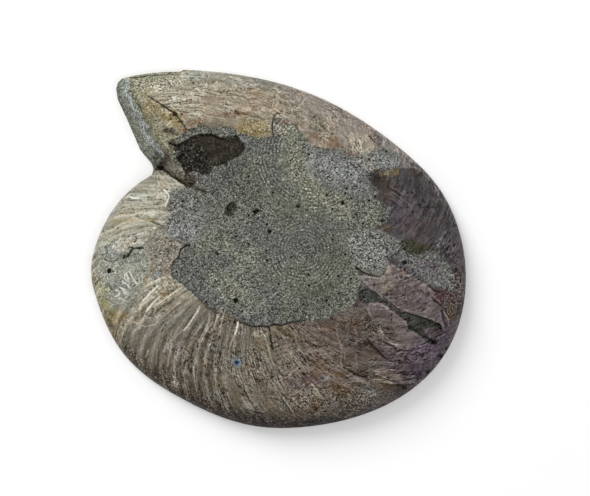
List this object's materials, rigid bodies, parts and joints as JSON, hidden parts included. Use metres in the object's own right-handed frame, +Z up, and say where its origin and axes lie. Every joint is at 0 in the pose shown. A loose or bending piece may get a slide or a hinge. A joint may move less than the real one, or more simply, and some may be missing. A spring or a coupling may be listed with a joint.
{
  "type": "ammonite fossil half",
  "caption": "Half of a fossil ammonite lying on its flat sawn face: spiral whorl with sickle ribs, broken shell plates and a ground sandy matrix centre.",
  "frame": {"origin": "centre of the bounding box, at the flat sawn face that the stone lies on", "axes": "+Z up, out of the sawn face towards the natural outside; +Y towards the mouth's side of the coil; +X away from the mouth, towards the whorl's widest sweep"},
  "size_m": [0.1204, 0.115, 0.0159],
  "materials": {
    "fossil_stone": "natural, dull matrix and faintly glossy shell"
  },
  "bodies": {
    "root": {"ammonite": "fossil_stone"}
  },
  "joints": []
}
